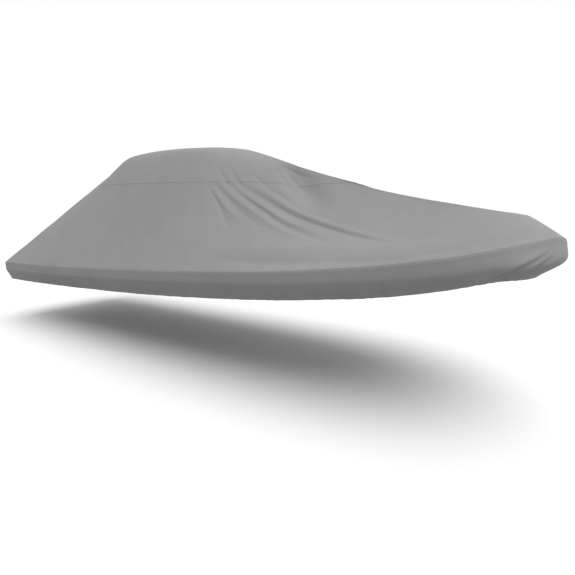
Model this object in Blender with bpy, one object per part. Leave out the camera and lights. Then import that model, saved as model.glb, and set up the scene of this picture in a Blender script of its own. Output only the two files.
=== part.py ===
"""Fitted towing cover for an open boat with a console: five sewn cloth panels, hollow underneath.

Metres, +Z up, bow towards +X, starboard towards -Y. The cover is drawn as it hangs over its boat:
a crown over the console, a side panel down each flank and a skirt panel under each gunwale.
The origin is under the cloth at the highest part of the crown, where the boat holds the cover up.
"""
from collections import namedtuple

import bmesh
import bpy
import numpy as np

# Driving sizes ----------------------------------------------------------------------------------
CLOTH = 0.002                 # thickness of the coated cloth
GAP = 0.00036                 # clear distance between two panels at their seam
MOUNT_FROM_STERN = 3.60       # where the console's roof carries the crown
SEAM_HEIGHT = 2.316           # height of the crown's seam where it meets the ridge, above the ground
SEAM_RISE = 0.040             # how much the seam climbs for each metre towards the stern
SKIRT_ROWS = 4                # rows of faces down a skirt panel
CROWN_ROWS = 5                # rows of faces from the ridge to the crown's seam
SIDE_ROWS = 10                # rows of faces from the crown's seam to the gunwale
SMALL_STEP = 0.003            # step along the rim, or share of the way down, that measures a slope
SAG_HIGH = 0.75               # below one, the cloth sags most above half way down
PATH_POINTS = 41              # points along a fold's path
CLEAR_OF_MIDDLE = 0.20        # folds fade out over this distance from the stern's and bow's middle
CLEAR_OF_EDGE = 0.05          # folds fade out over this share of the way from ridge and gunwale
CLEAR_OF_GUNWALE = 0.20       # gathers fade out over this share of the way down from the gunwale
WELD = 0.00005                # vertices of neighbouring patches closer than this are one
LEAST_OPENING = 0.25          # keeps the seam gap's step short at a panel's sharp corners
SHARP_EDGE = 50               # degrees between faces from which an edge is shaded sharp

# The gunwale under the cloth, from the middle of the stern round one side to the middle of the bow.
Rim = namedtuple("Rim", "from_stern half_breadth height")
RIM = [
    Rim(0.000, 0.000, 1.150),
    Rim(0.015, 0.800, 1.150),
    Rim(0.080, 1.130, 1.150),
    Rim(0.215, 1.235, 1.150),
    Rim(1.600, 1.240, 1.165),
    Rim(3.000, 1.250, 1.215),
    Rim(4.600, 1.250, 1.290),
    Rim(6.100, 1.225, 1.380),
    Rim(7.200, 1.150, 1.495),
    Rim(7.850, 1.010, 1.590),
    Rim(8.320, 0.790, 1.690),
    Rim(8.580, 0.430, 1.740),
    Rim(8.675, 0.000, 1.715),
]

# The line along the top, over the console and down to the foredeck.
Ridge = namedtuple("Ridge", "from_stern height")
RIDGE = [
    Ridge(2.74, 2.900),
    Ridge(3.04, 2.955),
    Ridge(3.50, 2.990),
    Ridge(4.00, 2.985),
    Ridge(4.60, 2.935),
    Ridge(5.15, 2.835),
    Ridge(5.60, 2.680),
    Ridge(6.00, 2.535),
    Ridge(6.60, 2.345),
    Ridge(7.20, 2.178),
    Ridge(7.80, 2.045),
    Ridge(8.35, 1.932),
]

# How the cloth runs down from the ridge at a few places along the rim: the ridge point it starts
# from, the share of the way that is flat on top, the rounding of the edge and the sag below it.
Section = namedtuple("Section", "along_rim ridge_from_stern flat_share rounding sag")
SECTIONS = [
    Section(0.00, 3.04, 0.085, 0.05, 0.010),
    Section(1.54, 3.14, 0.130, 0.05, 0.010),
    Section(2.54, 3.30, 0.225, 0.06, 0.010),
    Section(3.84, 3.74, 0.260, 0.07, 0.015),
    Section(5.44, 4.74, 0.24, 0.08, 0.035),
    Section(6.64, 5.81, 0.08, 0.11, 0.080),
    Section(7.14, 6.30, 0.03, 0.12, 0.130),
    Section(8.24, 7.35, 0.00, 0.13, 0.145),
    Section(8.99, 7.80, 0.00, 0.15, 0.095),
    Section(9.44, 8.05, 0.00, 0.15, 0.045),
    Section(9.94, 8.28, 0.00, 0.15, 0.000),
    Section(10.34, 8.35, 0.00, 0.15, 0.000),
]

# The skirt: how far it hangs below the gunwale, how far its elastic hem draws it in, the share of
# it that hangs straight over the rub rail, the rounding where it turns in below and how far it
# swells out half way down.
Skirt = namedtuple("Skirt", "along_rim depth drawn_in straight_share rounding swell")
SKIRT = [
    Skirt(0.00, 0.325, 0.075, 0.43, 0.04, 0.000),
    Skirt(1.49, 0.325, 0.075, 0.43, 0.04, 0.000),
    Skirt(3.24, 0.333, 0.130, 0.385, 0.04, 0.000),
    Skirt(5.24, 0.330, 0.100, 0.38, 0.04, 0.000),
    Skirt(7.24, 0.305, 0.100, 0.40, 0.04, 0.000),
    Skirt(8.44, 0.295, 0.100, 0.46, 0.06, 0.000),
    Skirt(9.14, 0.285, 0.127, 0.55, 0.10, 0.012),
    Skirt(9.54, 0.325, 0.220, 0.58, 0.12, 0.045),
    Skirt(9.94, 0.366, 0.210, 0.55, 0.16, 0.035),
    Skirt(10.34, 0.345, 0.190, 0.54, 0.12, 0.028),
]

# Main folds of the cloth above the gunwale. Each runs from its start past its middle to its end,
# given as distance along the rim and share of the way down. A ridge is high, a trough is negative.
Fold = namedtuple("Fold", "side start middle end half_width height")
FOLDS = [
    Fold("starboard", (6.21, 0.36), (7.25, 0.41), (8.31, 0.54), 0.075, -0.018),
    Fold("starboard", (6.45, 0.30), (7.14, 0.33), (8.28, 0.45), 0.075, 0.012),
    Fold("starboard", (6.09, 0.40), (6.89, 0.48), (7.60, 0.60), 0.075, -0.014),
    Fold("starboard", (5.92, 0.44), (6.29, 0.50), (6.74, 0.58), 0.070, -0.012),
    Fold("starboard", (6.54, 0.06), (6.92, 0.13), (7.39, 0.28), 0.160, -0.058),
    Fold("starboard", (6.90, 0.78), (7.99, 0.68), (9.54, 0.60), 0.120, 0.034),
    Fold("starboard", (6.60, 0.90), (8.21, 0.86), (9.54, 0.76), 0.070, -0.022),
    Fold("port", (6.09, 0.38), (7.14, 0.44), (8.09, 0.58), 0.075, -0.017),
    Fold("port", (6.34, 0.31), (7.04, 0.35), (8.04, 0.48), 0.075, 0.012),
    Fold("port", (5.89, 0.42), (6.64, 0.52), (7.29, 0.66), 0.075, -0.014),
    Fold("port", (6.64, 0.05), (7.02, 0.15), (7.54, 0.30), 0.170, -0.052),
    Fold("port", (6.80, 0.80), (7.89, 0.70), (9.44, 0.61), 0.120, 0.031),
    Fold("port", (6.50, 0.91), (8.09, 0.87), (9.44, 0.77), 0.070, -0.020),
    Fold("port", (2.44, 0.30), (2.79, 0.60), (3.24, 0.90), 0.130, -0.014),
]

# Gathers where the elastic hem turns under the bow: place along the rim and share of the way down
# the skirt, at the hem and at the upper end.
Gather = namedtuple("Gather", "side at_hem at_top half_width height")
GATHERS = [
    Gather("starboard", (9.22, 0.98), (9.70, 0.44), 0.036, -0.014),
    Gather("starboard", (9.46, 0.98), (9.99, 0.46), 0.036, -0.018),
    Gather("starboard", (9.72, 0.98), (10.16, 0.62), 0.034, -0.014),
    Gather("port", (9.28, 0.98), (9.76, 0.42), 0.038, -0.013),
    Gather("port", (9.54, 0.98), (10.06, 0.50), 0.036, -0.015),
]

# Cloth colour, as linear light.
CLOTH_GREY = (0.151, 0.150, 0.152)
CLOTH_ROUGHNESS = 0.82
SKIRT_SHADE = 0.97            # the skirt's cloth beside the other panels', as a share


def column(table, name):
    """One named column of a table as an array."""
    return np.array([getattr(row, name) for row in table])


def curve_through(knots, values, at, level_ends=False):
    """Smooth curve through a table's values that does not swing past them."""
    span = np.diff(knots)
    rise = np.diff(values) / span
    slope = np.zeros(len(values))
    if not level_ends:
        slope[0], slope[-1] = rise[0], rise[-1]
    for k in range(1, len(values) - 1):
        if rise[k - 1] * rise[k] > 0:
            near = 2 * span[k] + span[k - 1]
            far = span[k] + 2 * span[k - 1]
            slope[k] = (near + far) / (near / rise[k - 1] + far / rise[k])
    return hermite(knots, values, slope, at)


def round_curve_through(knots, values, at):
    """Smooth curve through a table's values that keeps rounding between them."""
    span = np.diff(knots)
    rise = np.diff(values) / span
    slope = np.empty(len(values))
    slope[1:-1] = (rise[:-1] * span[1:] + rise[1:] * span[:-1]) / (span[:-1] + span[1:])
    slope[0], slope[-1] = rise[0], rise[-1]
    return hermite(knots, values, slope, at)


def hermite(knots, values, slope, at):
    """Cubic pieces between the knots with the given slopes."""
    span = np.diff(knots)
    i = np.clip(np.searchsorted(knots, at, side="right") - 1, 0, len(span) - 1)
    u = (at - knots[i]) / span[i]
    level = (2 * u**3 - 3 * u**2 + 1) * values[i] + (3 * u**2 - 2 * u**3) * values[i + 1]
    lean = (u**3 - 2 * u**2 + u) * slope[i] + (u**3 - u**2) * slope[i + 1]
    return level + lean * span[i]


STEPS = np.hypot(np.diff(column(RIM, "from_stern")), np.diff(column(RIM, "half_breadth")))
RIM_KNOTS = np.concatenate([[0.0], np.cumsum(STEPS)])
RIM_LENGTH = RIM_KNOTS[-1]


def rim_point(along):
    """Gunwale at a distance along the rim: from the stern, half breadth, height.

    Past either end the rim runs on round the other side, where the half breadth is negative.
    """
    inside = np.where(along > RIM_LENGTH, 2 * RIM_LENGTH - along, np.abs(along))
    side = np.where((along < 0) | (along > RIM_LENGTH), -1, 1)
    x = curve_through(RIM_KNOTS, column(RIM, "from_stern"), inside, level_ends=True)
    y = curve_through(RIM_KNOTS, column(RIM, "half_breadth"), inside) * side
    z = curve_through(RIM_KNOTS, column(RIM, "height"), inside, level_ends=True)
    return x, y, z


def table_value(table, name, along):
    """One column of the section or skirt table at any place along the rim.

    The table's last row stands for the middle of the bow, wherever the rim's length ends.
    """
    knots = column(table, "along_rim")
    knots[-1] = RIM_LENGTH
    return curve_through(knots, column(table, name), along)


def bend(share, straight, rounding):
    """Rises from 0 to 1: level as far as the straight share, then a slope, with a rounded turn."""

    def turn(at):
        return (at - straight) + np.sqrt((at - straight) ** 2 + rounding**2)

    return (turn(share) - turn(0.0)) / (turn(1.0) - turn(0.0))


def smooth_upper_cloth(along, down):
    """Unfolded cloth above the gunwale, down = 0 on the ridge and 1 on the gunwale."""
    rim_x, rim_y, rim_z = rim_point(along)
    ridge_x = table_value(SECTIONS, "ridge_from_stern", along)
    ridge_z = round_curve_through(column(RIDGE, "from_stern"), column(RIDGE, "height"), ridge_x)
    flat = table_value(SECTIONS, "flat_share", along)
    rounding = table_value(SECTIONS, "rounding", along)
    sag = table_value(SECTIONS, "sag", along) * np.sin(np.pi * down**SAG_HIGH)
    x = ridge_x + (rim_x - ridge_x) * down
    z = ridge_z + (rim_z - ridge_z) * bend(down, flat, rounding) - sag
    return np.stack([x, -rim_y * down, z], axis=-1)


def smooth_skirt(along, down):
    """Unfolded cloth below the gunwale, down = 0 on the gunwale and 1 on the hem."""
    rim_x, rim_y, rim_z = rim_point(along)
    before, after = rim_point(along - SMALL_STEP), rim_point(along + SMALL_STEP)
    run_x, run_y = after[0] - before[0], after[1] - before[1]
    length = np.hypot(run_x, run_y)
    straight = table_value(SKIRT, "straight_share", along)
    rounding = table_value(SKIRT, "rounding", along)
    inward = table_value(SKIRT, "drawn_in", along) * bend(down, straight, rounding)
    inward -= table_value(SKIRT, "swell", along) * np.sin(np.pi * down) ** 2
    x = rim_x + inward * run_y / length
    y = rim_y - inward * run_x / length
    z = rim_z - table_value(SKIRT, "depth", along) * down
    return np.stack([x, -y, z], axis=-1)


def outward_normal(surface, along, down):
    """Outward unit normal of a smooth surface, by small steps."""
    a0 = np.clip(along - SMALL_STEP, 0, RIM_LENGTH)
    a1 = np.clip(along + SMALL_STEP, 0, RIM_LENGTH)
    d0, d1 = np.clip(down - SMALL_STEP, 0, 1), np.clip(down + SMALL_STEP, 0, 1)
    normal = np.cross(surface(along, d1) - surface(along, d0), surface(a1, down) - surface(a0, down))
    return normal / np.linalg.norm(normal, axis=-1, keepdims=True)


def fold_height(points, path, half_width, height):
    """Height of one fold at each point: rounded across its path, fading out at both ends."""
    flat = points.reshape(-1, 1, 3)
    gap = np.linalg.norm(flat - path[None, :, :], axis=-1)
    nearest = gap.argmin(axis=1)
    across = gap[np.arange(len(gap)), nearest]
    share = nearest / (len(path) - 1)
    fade = np.sqrt(np.sin(np.pi * np.clip(share, 0, 1)))
    lift = height * fade * np.exp(-((across / half_width) ** 2))
    return lift.reshape(points.shape[:-1])


def clear_of_middle(along):
    """Fades the folds out before the middle of the stern and of the bow, where the sides join."""
    from_stern = np.clip(along / CLEAR_OF_MIDDLE, 0, 1)
    from_bow = np.clip((RIM_LENGTH - along) / CLEAR_OF_MIDDLE, 0, 1)
    return from_stern * from_bow


def upper_cloth(side, along, down):
    """Folded cloth above the gunwale, on the starboard side; port is mirrored later."""
    points = smooth_upper_cloth(along, down)
    lift = np.zeros(points.shape[:-1])
    for fold in (f for f in FOLDS if f.side == side):
        u = np.linspace(0, 1, PATH_POINTS)[:, None]
        start, middle, end = (np.array(p) for p in (fold.start, fold.middle, fold.end))
        pull = 2 * middle - (start + end) / 2
        track = (1 - u) ** 2 * start + 2 * u * (1 - u) * pull + u**2 * end
        path = smooth_upper_cloth(track[:, 0], track[:, 1])
        lift += fold_height(points, path, fold.half_width, fold.height)
    from_ridge = np.clip(down / CLEAR_OF_EDGE, 0, 1)
    from_gunwale = np.clip((1 - down) / CLEAR_OF_EDGE, 0, 1)
    lift *= clear_of_middle(along) * from_ridge * from_gunwale
    return points + lift[..., None] * outward_normal(smooth_upper_cloth, along, down)


def skirt_cloth(side, along, down):
    """Gathered skirt, on the starboard side; port is mirrored later."""
    points = smooth_skirt(along, down)
    lift = np.zeros(points.shape[:-1])
    for gather in (g for g in GATHERS if g.side == side):
        u = np.linspace(0, 1, PATH_POINTS)[:, None]
        track = (1 - u) * np.array(gather.at_hem) + u * np.array(gather.at_top)
        path = smooth_skirt(track[:, 0], track[:, 1])
        lift += fold_height(points, path, gather.half_width, gather.height)
    lift *= clear_of_middle(along) * np.clip(down / CLEAR_OF_GUNWALE, 0, 1)
    return points + lift[..., None] * outward_normal(smooth_skirt, along, down)


def seam_share(along):
    """Share of the way down at which the crown's seam crosses each line down the cloth."""
    low, high = np.zeros(len(along)), np.full(len(along), 0.9)
    for _ in range(40):
        middle = (low + high) / 2
        point = smooth_upper_cloth(along, middle)
        seam = SEAM_HEIGHT + SEAM_RISE * (SEAM_MEETS_RIDGE - point[:, 0])
        above = point[:, 2] > seam
        low, high = np.where(above, middle, low), np.where(above, high, middle)
    return (low + high) / 2


def seam_end():
    """Distance along the rim at which the crown's seam has run up to the ridge."""
    along = np.linspace(5.0, 9.0, 4001)
    height = smooth_upper_cloth(along, 0 * along)[:, 2]
    return along[np.argmin(np.abs(height - SEAM_HEIGHT))]


CROWN_END = seam_end()
SEAM_MEETS_RIDGE = float(table_value(SECTIONS, "ridge_from_stern", np.array([CROWN_END]))[0])

# Lines down the cloth: denser round the stern corner, through the folds and round the bow.
Stretch = namedtuple("Stretch", "start end lines")
CROWN_STRETCHES = [
    Stretch(0.0, 0.80, 3),
    Stretch(0.80, 1.40, 7),
    Stretch(1.40, 5.64, 14),
    Stretch(5.64, CROWN_END, 13),
]
BOW_STRETCHES = [
    Stretch(CROWN_END, 8.64, 8),
    Stretch(8.64, RIM_LENGTH, 15),
]


def stations(stretches):
    """Places along the rim of the lines down the cloth."""
    parts = [np.linspace(s.start, s.end, s.lines, endpoint=False) for s in stretches]
    return np.concatenate(parts + [[stretches[-1].end]])


def grid(side, along, shares, surface):
    """Points of a patch: one line for each station, one row for each share down it."""
    spread = np.repeat(along[:, None], shares.shape[1], axis=1)
    points = surface(side, spread, shares)
    if side == "port":
        points[..., 1] *= -1
    points -= ORIGIN
    return points


def even_rows(top, bottom, rows):
    """Shares from the top row to the bottom row of a patch, line by line."""
    step = np.linspace(0, 1, rows + 1)
    return top[:, None] * (1 - step) + bottom[:, None] * step


def half_of_cover(side):
    """The patches of one side with the panel that each belongs to."""
    aft, fore = stations(CROWN_STRETCHES), stations(BOW_STRETCHES)
    seam = seam_share(aft)
    seam[-1] = 0.0
    none, rim = np.zeros(len(aft)), np.ones(len(aft))
    crown = grid(side, aft, even_rows(none, seam, CROWN_ROWS), upper_cloth)
    side_aft = grid(side, aft, even_rows(seam, rim, SIDE_ROWS), upper_cloth)
    rows = even_rows(np.zeros(len(fore)), np.ones(len(fore)), SIDE_ROWS)
    side_fore = grid(side, fore, rows, upper_cloth)
    whole = np.concatenate([aft, fore[1:]])
    rows = even_rows(np.zeros(len(whole)), np.ones(len(whole)), SKIRT_ROWS)
    skirt = grid(side, whole, rows, skirt_cloth)
    flank = np.concatenate([side_aft, side_fore[1:]])
    return [("crown", crown), ("side_panel_" + side, flank), ("skirt_panel_" + side, skirt)]


def whole_surface():
    """Both sides as one sheet of triangles, and the panel name of every face."""
    sheet = bmesh.new()
    panel_of = sheet.faces.layers.int.new("panel")
    names = []
    for side in ("starboard", "port"):
        for name, points in half_of_cover(side):
            if name not in names:
                names.append(name)
            lines, rows = points.shape[:2]
            rows_of_verts = [[sheet.verts.new(p) for p in line] for line in points]
            for i in range(lines - 1):
                for j in range(rows - 1):
                    here, there = rows_of_verts[i], rows_of_verts[i + 1]
                    corners = [here[j], here[j + 1], there[j + 1], there[j]]
                    if side == "port":
                        corners.reverse()
                    sheet.faces.new(corners)[panel_of] = names.index(name)
    bmesh.ops.remove_doubles(sheet, verts=sheet.verts[:], dist=WELD)
    bmesh.ops.triangulate(sheet, faces=sheet.faces[:], quad_method="BEAUTY")
    sheet.normal_update()
    return sheet, panel_of, names


def drawn_back(faces):
    """For each edge vertex of a panel, the small step that opens the seam gap."""
    inward = {}
    members = set(faces)
    for face in faces:
        for edge in face.edges:
            if sum(f in members for f in edge.link_faces) == 1:
                along = (edge.verts[1].co - edge.verts[0].co).normalized()
                into = face.normal.cross(along)
                if into.dot(face.calc_center_median() - edge.verts[0].co) < 0:
                    into.negate()
                for vert in edge.verts:
                    inward.setdefault(vert, []).append(into)
    steps = {}
    for vert, ways in inward.items():
        total = ways[0] + ways[-1]
        steps[vert] = total * (GAP / 2) / max(1 + ways[0].dot(ways[-1]), LEAST_OPENING)
    return steps


def panel_object(name, faces, material):
    """A closed solid of one panel: the outer face, the inner face and the cut edge."""
    steps = drawn_back(faces)
    verts = sorted({v for f in faces for v in f.verts}, key=lambda v: v.index)
    solid = bmesh.new()
    outer, inner = {}, {}
    for vert in verts:
        place = vert.co + steps[vert] if vert in steps else vert.co
        outer[vert] = solid.verts.new(place)
        inner[vert] = solid.verts.new(place - vert.normal * CLOTH * vert.calc_shell_factor())
    members = set(faces)
    for face in faces:
        solid.faces.new([outer[v] for v in face.verts])
        solid.faces.new([inner[v] for v in reversed(face.verts)])
        for loop in face.loops:
            if sum(f in members for f in loop.edge.link_faces) == 1:
                a, b = loop.vert, loop.link_loop_next.vert
                solid.faces.new([outer[b], outer[a], inner[a], inner[b]])
    bmesh.ops.triangulate(solid, faces=[f for f in solid.faces if len(f.verts) == 4])
    mesh = bpy.data.meshes.new(name)
    solid.to_mesh(mesh)
    solid.free()
    mesh.shade_smooth()
    mesh.set_sharp_from_angle(angle=np.radians(SHARP_EDGE))
    mesh.materials.append(material)
    panel = bpy.data.objects.new(name, mesh)
    bpy.context.scene.collection.objects.link(panel)
    return panel


def cloth_material(name, shade):
    """Matt coated cloth; shade lightens or darkens one panel a little."""
    material = bpy.data.materials.new(name)
    material.use_nodes = True
    shader = material.node_tree.nodes["Principled BSDF"]
    colour = tuple(c * shade for c in CLOTH_GREY) + (1.0,)
    shader.inputs["Base Color"].default_value = colour
    shader.inputs["Roughness"].default_value = CLOTH_ROUGHNESS
    shader.inputs["Metallic"].default_value = 0.0
    return material


def crown_top_height():
    """Height of the cloth's outer face above the mount."""
    heights = round_curve_through(
        column(RIDGE, "from_stern"), column(RIDGE, "height"), np.array([MOUNT_FROM_STERN])
    )
    return float(heights[0])


ORIGIN = np.array([MOUNT_FROM_STERN, 0.0, crown_top_height() - CLOTH])


def build_cover():
    """All five panels under one empty."""
    root = bpy.data.objects.new("cover_origin", None)
    bpy.context.scene.collection.objects.link(root)
    sheet, panel_of, names = whole_surface()
    for index, name in enumerate(names):
        faces = [f for f in sheet.faces if f[panel_of] == index]
        shade = SKIRT_SHADE if name.startswith("skirt") else 1.0
        panel = panel_object(name, faces, cloth_material("cloth_" + name, shade))
        panel.parent = root
    sheet.free()


for old in list(bpy.data.objects):
    bpy.data.objects.remove(old, do_unlink=True)
build_cover()
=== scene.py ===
"""Looks of the boat cover: fine cloth panels with folds, felled seams and stitching.

Every place is in metres. Boat coordinates count x from the stern, y to port and z from the ground.
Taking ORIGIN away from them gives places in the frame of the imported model.
"""

import math
from collections import namedtuple

import bpy
import numpy as np
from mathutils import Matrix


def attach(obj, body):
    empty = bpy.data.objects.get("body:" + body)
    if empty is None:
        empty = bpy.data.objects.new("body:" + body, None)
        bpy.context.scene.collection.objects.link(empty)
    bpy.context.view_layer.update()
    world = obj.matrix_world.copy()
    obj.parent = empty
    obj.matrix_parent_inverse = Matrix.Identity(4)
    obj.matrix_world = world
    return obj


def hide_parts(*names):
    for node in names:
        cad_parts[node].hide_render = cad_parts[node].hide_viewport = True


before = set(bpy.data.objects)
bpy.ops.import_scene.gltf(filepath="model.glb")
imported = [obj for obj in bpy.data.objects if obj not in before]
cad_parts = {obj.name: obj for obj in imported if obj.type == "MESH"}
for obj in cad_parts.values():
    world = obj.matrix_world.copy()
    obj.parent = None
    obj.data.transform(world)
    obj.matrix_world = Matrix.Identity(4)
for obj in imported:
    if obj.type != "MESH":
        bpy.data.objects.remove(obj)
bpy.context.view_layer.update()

# Sizes of the cloth and its seams -----------------------------------------------------------------
CLOTH = 0.0018                # thickness of the coated cloth
GAP = 0.0005                  # open groove between two panels at their seam
MOUNT_FROM_STERN = 3.60       # where the console's roof carries the crown
CAD_CLOTH = 0.002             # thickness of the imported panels, which the origin lies under
SEAM_HEIGHT = 2.316           # height of the crown's seam where it meets the ridge, above the ground
SEAM_RISE = 0.040             # how much the seam climbs for each metre towards the stern
FELL = 0.012                  # width of the felled strip beside a seam
FELL_RISE = 0.0011            # how far the felled strip stands up
HEM = 0.038                   # height of the hem's channel
HEM_RISE = 0.0028             # how far the elastic rounds the channel out
FAINTER = 0.006               # the gunwale's seam counts as this much further off than it is, so the painted seam shade, seam wear and puckers beside it are fainter
EDGE_ROUND = 0.030            # reach of the rounding over the gunwale and the foredeck's ridge
SMALL_STEP = 0.003            # step along the rim that measures its direction
SAG_HIGH = 0.75               # below one, the cloth sags most above half way down

# The gunwale under the cloth, from the middle of the stern round one side to the middle of the bow.
Rim = namedtuple("Rim", "from_stern half_breadth height")
RIM = [
    Rim(0.000, 0.000, 1.150),
    Rim(0.015, 0.800, 1.150),
    Rim(0.080, 1.130, 1.150),
    Rim(0.215, 1.235, 1.150),
    Rim(1.600, 1.240, 1.165),
    Rim(3.000, 1.250, 1.215),
    Rim(4.600, 1.250, 1.290),
    Rim(6.100, 1.225, 1.380),
    Rim(7.200, 1.150, 1.495),
    Rim(7.850, 1.010, 1.590),
    Rim(8.320, 0.790, 1.690),
    Rim(8.580, 0.430, 1.740),
    Rim(8.675, 0.000, 1.715),
]

# The line along the top, over the console and down to the foredeck.
Ridge = namedtuple("Ridge", "from_stern height")
RIDGE = [
    Ridge(2.74, 2.900),
    Ridge(3.04, 2.955),
    Ridge(3.50, 2.990),
    Ridge(4.00, 2.985),
    Ridge(4.60, 2.935),
    Ridge(5.15, 2.835),
    Ridge(5.60, 2.680),
    Ridge(6.00, 2.535),
    Ridge(6.60, 2.345),
    Ridge(7.20, 2.178),
    Ridge(7.80, 2.045),
    Ridge(8.35, 1.932),
]

# How the cloth runs down from the ridge at a few places along the rim.
Section = namedtuple("Section", "along_rim ridge_from_stern flat_share rounding sag")
SECTIONS = [
    Section(0.00, 3.04, 0.085, 0.05, 0.010),
    Section(1.54, 3.14, 0.130, 0.05, 0.010),
    Section(2.54, 3.30, 0.225, 0.06, 0.010),
    Section(3.84, 3.74, 0.260, 0.07, 0.015),
    Section(5.44, 4.74, 0.24, 0.08, 0.035),
    Section(6.64, 5.81, 0.08, 0.11, 0.080),
    Section(7.14, 6.30, 0.03, 0.12, 0.130),
    Section(8.24, 7.35, 0.00, 0.13, 0.145),
    Section(8.99, 7.80, 0.00, 0.15, 0.095),
    Section(9.44, 8.05, 0.00, 0.15, 0.045),
    Section(9.94, 8.28, 0.00, 0.15, 0.000),
    Section(10.34, 8.35, 0.00, 0.15, 0.000),
]

# The skirt: depth below the gunwale, how far the hem draws it in, the share that hangs straight,
# the rounding where it turns in and how far it swells out half way down.
Skirt = namedtuple("Skirt", "along_rim depth drawn_in straight_share rounding swell")
SKIRT = [
    Skirt(0.00, 0.325, 0.075, 0.43, 0.04, 0.000),
    Skirt(1.49, 0.325, 0.075, 0.43, 0.04, 0.000),
    Skirt(3.24, 0.333, 0.130, 0.385, 0.04, 0.000),
    Skirt(5.24, 0.330, 0.100, 0.38, 0.04, 0.000),
    Skirt(7.24, 0.305, 0.100, 0.40, 0.04, 0.000),
    Skirt(8.44, 0.295, 0.100, 0.46, 0.06, 0.000),
    Skirt(9.14, 0.285, 0.127, 0.55, 0.10, 0.012),
    Skirt(9.54, 0.325, 0.220, 0.58, 0.12, 0.045),
    Skirt(9.94, 0.366, 0.210, 0.55, 0.16, 0.035),
    Skirt(10.34, 0.345, 0.190, 0.54, 0.12, 0.028),
]

# Folds above the gunwale. Each runs from its start past its middle to its end, as distance along
# the rim and share of the way down. A ridge is high, a trough is negative.
Fold = namedtuple("Fold", "side start middle end half_width height")
FOLDS = [
    # The fan that runs forward and down from the console's front corner.
    Fold("starboard", (6.14, 0.345), (7.24, 0.410), (8.38, 0.545), 0.034, -0.017),
    Fold("starboard", (6.40, 0.310), (7.21, 0.368), (8.34, 0.495), 0.034, 0.011),
    Fold("starboard", (6.24, 0.385), (6.97, 0.447), (7.64, 0.530), 0.028, 0.010),
    Fold("starboard", (6.04, 0.380), (6.88, 0.472), (7.66, 0.595), 0.030, -0.012),
    Fold("starboard", (5.99, 0.410), (6.68, 0.495), (7.44, 0.610), 0.030, 0.011),
    Fold("starboard", (5.88, 0.425), (6.30, 0.487), (6.89, 0.590), 0.034, -0.011),
    Fold("starboard", (5.87, 0.450), (6.22, 0.522), (6.64, 0.610), 0.030, 0.008),
    Fold("starboard", (5.82, 0.450), (6.12, 0.530), (6.46, 0.650), 0.034, -0.010),
    # Short pulls across the crown's seam.
    Fold("starboard", (5.78, 0.310), (5.96, 0.360), (6.12, 0.395), 0.022, -0.008),
    Fold("starboard", (5.97, 0.285), (6.12, 0.325), (6.26, 0.350), 0.022, -0.008),
    Fold("starboard", (6.30, 0.242), (6.46, 0.262), (6.62, 0.278), 0.020, -0.007),
    Fold("starboard", (6.62, 0.282), (6.78, 0.290), (6.96, 0.300), 0.022, -0.007),
    # The hollow under the ridge ahead of the console with two short pulls, then the long swell
    # and the long trough along the foredeck.
    Fold("starboard", (6.54, 0.060), (6.92, 0.130), (7.39, 0.280), 0.150, -0.060),
    Fold("starboard", (6.52, 0.120), (6.70, 0.165), (6.88, 0.225), 0.026, -0.010),
    Fold("starboard", (6.66, 0.085), (6.84, 0.130), (7.06, 0.180), 0.026, -0.010),
    Fold("starboard", (6.90, 0.780), (7.99, 0.680), (9.54, 0.600), 0.120, 0.036),
    Fold("starboard", (6.60, 0.900), (8.21, 0.860), (9.54, 0.760), 0.060, -0.024),
    # The port side's own fan, pulls, hollow, swell and trough, and one soft trough aft.
    Fold("port", (6.04, 0.370), (7.14, 0.440), (8.14, 0.585), 0.034, -0.016),
    Fold("port", (6.30, 0.325), (7.09, 0.390), (8.09, 0.530), 0.034, 0.011),
    Fold("port", (5.94, 0.400), (6.74, 0.515), (7.49, 0.640), 0.034, -0.012),
    Fold("port", (5.88, 0.430), (6.54, 0.535), (7.14, 0.650), 0.030, 0.010),
    Fold("port", (5.80, 0.445), (6.14, 0.530), (6.59, 0.640), 0.034, -0.012),
    Fold("port", (5.88, 0.295), (6.06, 0.340), (6.22, 0.375), 0.022, -0.008),
    Fold("port", (6.22, 0.257), (6.38, 0.280), (6.56, 0.303), 0.020, -0.007),
    Fold("port", (6.64, 0.050), (7.02, 0.150), (7.54, 0.300), 0.160, -0.054),
    Fold("port", (6.80, 0.800), (7.89, 0.700), (9.44, 0.610), 0.120, 0.033),
    Fold("port", (6.50, 0.910), (8.09, 0.870), (9.44, 0.770), 0.060, -0.022),
    Fold("port", (2.44, 0.300), (2.79, 0.600), (3.24, 0.900), 0.110, -0.014),
]

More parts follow.
